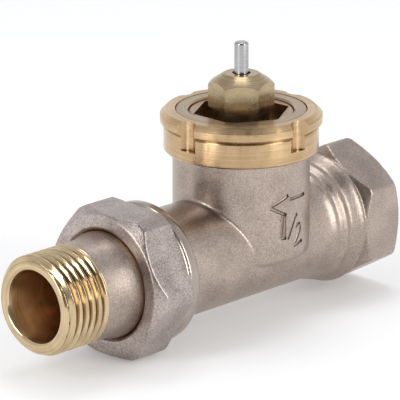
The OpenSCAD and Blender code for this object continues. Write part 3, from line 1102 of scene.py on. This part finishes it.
@dataclass
class Pin:
    """Ground pressure pin with a rounded tip."""

    radius: float = 1.5
    foot: float = 21.8
    top: float = 43.25
    tip: float = 0.5

    def build(self, finishes: Finishes) -> bpy.types.Object:
        """Builds and dresses the pin.

        Args:
            finishes: The valve's finishes.

        Returns:
            The piece.
        """
        arc = [(self.top - self.tip * (1 - math.sin(t)), self.radius - self.tip * (1 - math.cos(t)))
               for t in (math.radians(a) for a in range(0, 91, 15))]
        form = Form.turned([(self.foot, 0), (self.foot, self.radius), *arc, (self.top, 0)],
                           Axis.STEM, steps=64)
        return form.piece("ground_pin", "stem", Slot.PIN, [finishes.pin], "pressure_pin", 30)


@dataclass
class UnionNut:
    """Forged union nut with soft edges and a round collar behind its hexagon."""

    front: float = -41.0
    length: float = 13.6
    hex_len: float = 9.5
    across: float = 30.0
    turn: float = -27.0
    corner: float = 16.6
    face: float = 14.65
    chamfer: float = 1.9
    collar: float = 14.9
    dip: float = 0.35
    wall: float = 3.0
    room: float = 13.3
    hole: float = 11.3
    mouth: float = 0.7
    worn: float = 0.3
    ring: float = 0.4
    voxel: float = 0.22
    smoothing: int = 2

    def build(self, finishes: Finishes) -> bpy.types.Object:
        """Builds and dresses the nut.

        Args:
            finishes: The valve's finishes.

        Returns:
            The piece.
        """
        hex_end, end = self.front + self.hex_len, self.front + self.length
        inside, before, behind = hex_end + SPARE, self.front - SPARE, end + SPARE
        bar = Form.hexagon(self.across, self.front - 0.1, hex_end, Axis.PIPE, self.turn)
        form = bar.worked(Cut.TRIM, Form.turned([
            (self.front, 0), (self.front, self.face), (self.front + self.chamfer, self.corner),
            (inside, self.corner), (inside, 0)
        ], Axis.PIPE))
        waist = self.collar - self.dip
        form.worked(Cut.JOIN, Form.turned([
            (hex_end - SPARE, 0), (hex_end - SPARE, waist), (hex_end + 0.7, waist),
            (hex_end + 1.3, self.collar), (end - 1.1, self.collar), (end - 0.4, self.collar - 0.3),
            (end, self.collar - 0.9), (end, 0)
        ], Axis.PIPE))
        wall = self.front + self.wall
        form.worked(Cut.CUT, Form.turned([
            (before, 0), (before, self.hole + self.mouth + SPARE),
            (self.front + self.mouth, self.hole), (wall, self.hole), (wall, self.room),
            (end - 0.3, self.room), (behind, self.room + 0.3 + SPARE), (behind, 0)
        ], Axis.PIPE))
        form.forged(self.voxel, self.smoothing)
        rim, ring = self.hole + self.worn, hex_end + self.ring
        form.painted(NutSkin.WORN, lambda c: math.hypot(c.y, c.z) < rim and c.x < wall)
        form.painted(NutSkin.RING, lambda c: c.x > ring)
        skins = [finishes.nut_nickel, finishes.rim, finishes.plated_pipe]
        return form.piece("forged_nut", "nut", Slot.NICKEL, skins, "union_nut", 180)


@dataclass
class Tail:
    """Tailpiece: cut brass thread on a plated shank, flange and nose behind the nut."""

    end: float = -60.7
    thread: Screw = Screw(-60.7, -49.6, 10.48, 1.1, fade_high=1.4, lead=1.2)
    bore: float = 7.45
    mouth: float = 0.45
    shank: float = 10.25
    shank_start: float = -49.4
    swell: Point = (-44.0, 10.5)
    waist: Point = (-41.3, 11.18)
    flange: float = 12.8
    flange_span: Point = (-37.95, -34.55)
    neck: float = 10.2
    groove: float = 9.13
    groove_span: Point = (-33.2, -31.9)
    nose: float = 10.3
    nose_end: float = -31.1
    edge: float = 0.3

    def build(self, finishes: Finishes) -> bpy.types.Object:
        """Builds and dresses the tailpiece.

        Args:
            finishes: The valve's finishes.

        Returns:
            The piece.
        """
        (front, back), (groove, lip), edge = self.flange_span, self.groove_span, self.edge
        form = Form.turned([
            (self.end + self.mouth, self.bore), (self.end, self.bore + self.mouth),
            *self.thread.profile(), (self.shank_start, self.shank), self.swell, self.waist,
            (front, self.waist[1]), (front, self.flange - edge), (front + edge, self.flange),
            (back - edge, self.flange), (back, self.flange - edge), (back, self.neck),
            (groove, self.neck), (groove, self.groove), (lip, self.groove), (lip, self.nose),
            (self.nose_end - edge, self.nose), (self.nose_end, self.nose - edge),
            (self.nose_end, self.bore)
        ], Axis.PIPE, ring=True).displaced(self.thread.shift)
        form.painted(TailSkin.THREAD, lambda c: c.x <= self.shank_start)
        form.painted(TailSkin.BORE, lambda c: math.hypot(c.y, c.z) < self.bore + 0.1)
        return form.piece("turned_tail", "tail", Slot.TAIL,
                          [finishes.nickel, finishes.thread, finishes.bore], "tailpiece", 50)


@dataclass
class Insert:
    """Brass insert with its hexagon socket."""

    edge: float = 0.08

    def build(self, finishes: Finishes) -> bpy.types.Object:
        """Builds and dresses the insert.

        Args:
            finishes: The valve's finishes.

        Returns:
            The piece.
        """
        form = Form.copied("valve_insert")
        form.softened(self.edge, 40)
        return form.piece("socket_insert", "housing", Slot.GLAND, [finishes.insert],
                          "valve_insert", 15)


@dataclass
class Spring:
    """Return spring, a copy of its CAD node with a mesh of its own."""

    foot: float = 11.8
    stroke: float = 2.7

    def build(self, finishes: Finishes) -> bpy.types.Object:
        """Builds and dresses the spring.

        Args:
            finishes: The valve's finishes.

        Returns:
            The piece.
        """
        form = Form.copied("return_spring")
        spring = form.piece("coil_spring", "housing", Slot.SPRING, [finishes.spring],
                            "return_spring", 60)
        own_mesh(spring)
        return spring


def dress_inner_nodes(finishes: Finishes) -> None:
    """Gives the CAD nodes that stay their finishes.

    Args:
        finishes: The valve's finishes.
    """
    dressed = {
        finishes.rubber: ("insert_o_ring", "gland_o_ring", "pin_seal", "seat_disc", "tail_o_ring"),
        finishes.polymer: ("seal_washer", "guide_bush"),
        finishes.pin: ("spindle",),
        finishes.spring: ("spring_clip",),
        finishes.collar: ("spring_plate", "spindle_guide", "disc_holder", "disc_washer",
                          "disc_nut"),
    }
    for finish, names in dressed.items():
        for name in names:
            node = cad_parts[name]
            node.data.materials.clear()
            node.data.materials.append(finish)
            log.info("%s: %s", name, finish.name)


@dataclass(frozen=True)
class Lamp:
    """Soft lamp that looks at the valve, its power in watts, its sizes in metres."""

    name: str
    azimuth: float
    elevation: float
    size: Point
    power: float
    away: float = 0.9

    def hang(self) -> None:
        """Hangs the lamp."""
        a, e = math.radians(self.azimuth), math.radians(self.elevation)
        way = Vector((math.sin(a) * math.cos(e), -math.cos(a) * math.cos(e), math.sin(e)))
        data = bpy.data.lights.new(self.name, "AREA")
        data.shape = "RECTANGLE"
        data.size, data.size_y = self.size
        data.energy = self.power
        thing = bpy.data.objects.new(self.name, data)
        thing.location = way * self.away
        thing.rotation_euler = way.to_track_quat("Z", "Y").to_euler()
        bpy.context.scene.collection.objects.link(thing)


@dataclass
class Studio:
    """Camera, soft lamps, pale floor and sky."""

    azimuth: float = -46.3
    elevation: float = 17.2
    distance: float = 800.0
    target: tuple[float, float, float] = (0.0, 0.0, 10.0)
    shift: Point = (-8.6, -1.1)
    focal_px: float = 3811.9
    image_px: float = 400.0
    sensor: float = 36.0
    floor_gap: float = 0.0003
    floor_radius: float = 6.0
    wall: Colour = (1.0, 1.0, 1.0)
    ceiling: Colour = (0.70, 0.71, 0.74)
    dim: Colour = (0.22, 0.22, 0.225)
    dim_way: Colour = (-0.60, -0.57, 0.56)
    lamps: tuple[Lamp, ...] = (
        Lamp("left_softbox", -92, 24, (0.26, 0.75), 3.4),
        Lamp("right_softbox", 8, 24, (0.28, 0.75), 3.1),
        Lamp("top_softbox", 134, 72, (0.35, 0.35), 1.2),
    )

    def camera(self) -> None:
        """Puts the camera where the photograph was taken from."""
        a, e = math.radians(self.azimuth), math.radians(self.elevation)
        back = Vector((math.sin(a) * math.cos(e), -math.cos(a) * math.cos(e), math.sin(e)))
        right = Vector((math.cos(a), math.sin(a), 0))
        up = back.cross(right)
        aside, above = self.shift
        place = Vector(self.target) + back * self.distance + right * aside + up * above
        data = bpy.data.cameras.new("camera")
        data.sensor_width = self.sensor
        data.lens = self.focal_px / self.image_px * self.sensor
        data.clip_start, data.clip_end = 0.05, 50
        thing = bpy.data.objects.new("camera", data)
        turn = Matrix((right, up, back)).transposed().to_4x4()
        thing.matrix_world = Matrix.Translation(place * MM) @ turn
        bpy.context.scene.collection.objects.link(thing)
        bpy.context.scene.camera = thing

    def sky(self) -> None:
        """Pale room: white at the sides, softer overhead and dim above the camera."""
        world = bpy.data.worlds.new("room")
        bpy.context.scene.world = world
        world.use_nodes = True
        nodes = Nodes(world.node_tree)
        way = nodes.add("ShaderNodeTexCoord", {}, "Generated")
        height = nodes.add("ShaderNodeSeparateXYZ", {0: way}, "Z")
        front = nodes.add("ShaderNodeVectorMath", {0: way, 1: self.dim_way}, "Value",
                          operation="DOT_PRODUCT")
        room = nodes.tint(self.wall, self.ceiling, height.over(0.15, 0.6))
        nodes.feed(nodes.tree.nodes["Background"].inputs["Color"],
                   nodes.tint(room, self.dim, front.over(0.45, 0.85)))

    def floor(self, height: float) -> None:
        """Lays the pale floor.

        Args:
            height: Height of the floor in metres.
        """
        bm = bmesh.new()
        bmesh.ops.create_circle(bm, cap_ends=True, radius=self.floor_radius, segments=96)
        bmesh.ops.translate(bm, verts=bm.verts, vec=(0, 0, height))
        mesh = bpy.data.meshes.new("floor")
        bm.to_mesh(mesh)
        bm.free()
        thing = bpy.data.objects.new("floor", mesh)
        bpy.context.scene.collection.objects.link(thing)
        s = Surface("pale_floor")
        camera, glossy, through = (s.add("ShaderNodeLightPath", {}, f"Is {ray} Ray")
                                   for ray in ("Camera", "Glossy", "Transmission"))
        shown = s.tint((0, 0, 0), (1, 1, 1), camera + glossy + through)
        s.set(Base_Color=(0.88, 0.88, 0.88, 1), Roughness=0.9, Specular_IOR_Level=0.0,
              Emission_Color=shown, Emission_Strength=0.19)
        mesh.materials.append(s.material)

    def build(self) -> None:
        """Sets the studio up."""
        self.camera()
        for lamp in self.lamps:
            lamp.hang()
        self.sky()
        self.floor(CAD_BOX[0][2] - self.floor_gap)


def main() -> None:
    """Builds the valve's looks in order."""
    logging.basicConfig(level=logging.INFO, format="%(name)s: %(message)s")
    finishes = Finishes()
    makers = (ValveBody(), Collar(), Gland(), Insert(), Spring(), Pin(), UnionNut(), Tail())
    for maker in makers:
        maker.build(finishes)
    dress_inner_nodes(finishes)
    Studio().build()
    bpy.context.scene.view_settings.view_transform = "Standard"


if __name__ == "__main__":
    main()
